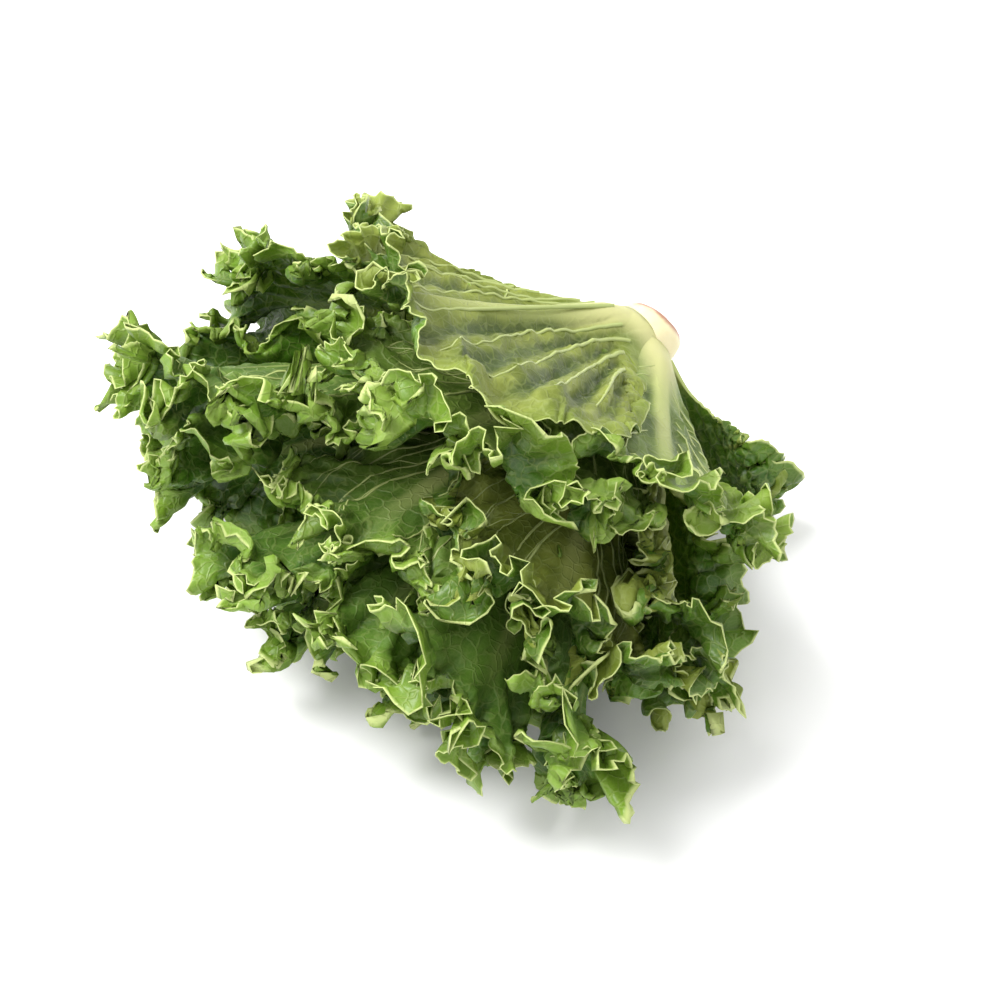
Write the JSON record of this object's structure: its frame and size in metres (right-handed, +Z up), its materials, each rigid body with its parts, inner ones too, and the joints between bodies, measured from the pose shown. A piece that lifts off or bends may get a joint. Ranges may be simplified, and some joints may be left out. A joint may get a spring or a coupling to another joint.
{
  "type": "green leaf lettuce",
  "caption": "Head of green leaf lettuce cut at the stem and lying on its side, with broad frilled leaves that open out from a pale butt in a loose spiral",
  "frame": {"origin": "on the ground, under the centre of the head's bounding box", "axes": "+Z up; the head lies on its side with its leaf tips towards -X and -Y and its cut butt towards +X and +Y; the picture is taken from -Y and above"},
  "size_m": [0.2804, 0.2562, 0.1852],
  "materials": {
    "stem": "satin",
    "leaf": "satin"
  },
  "bodies": {
    "root": {"stem": "stem", "leaf_01": "leaf", "leaf_02": "leaf", "leaf_03": "leaf", "leaf_04": "leaf", "leaf_05": "leaf", "leaf_06": "leaf", "leaf_07": "leaf", "leaf_08": "leaf", "leaf_09": "leaf", "leaf_10": "leaf", "leaf_11": "leaf", "leaf_12": "leaf", "leaf_13": "leaf", "leaf_14": "leaf", "leaf_15": "leaf", "leaf_16": "leaf", "leaf_17": "leaf", "leaf_18": "leaf", "leaf_19": "leaf", "leaf_20": "leaf", "leaf_21": "leaf", "leaf_22": "leaf"}
  },
  "joints": []
}
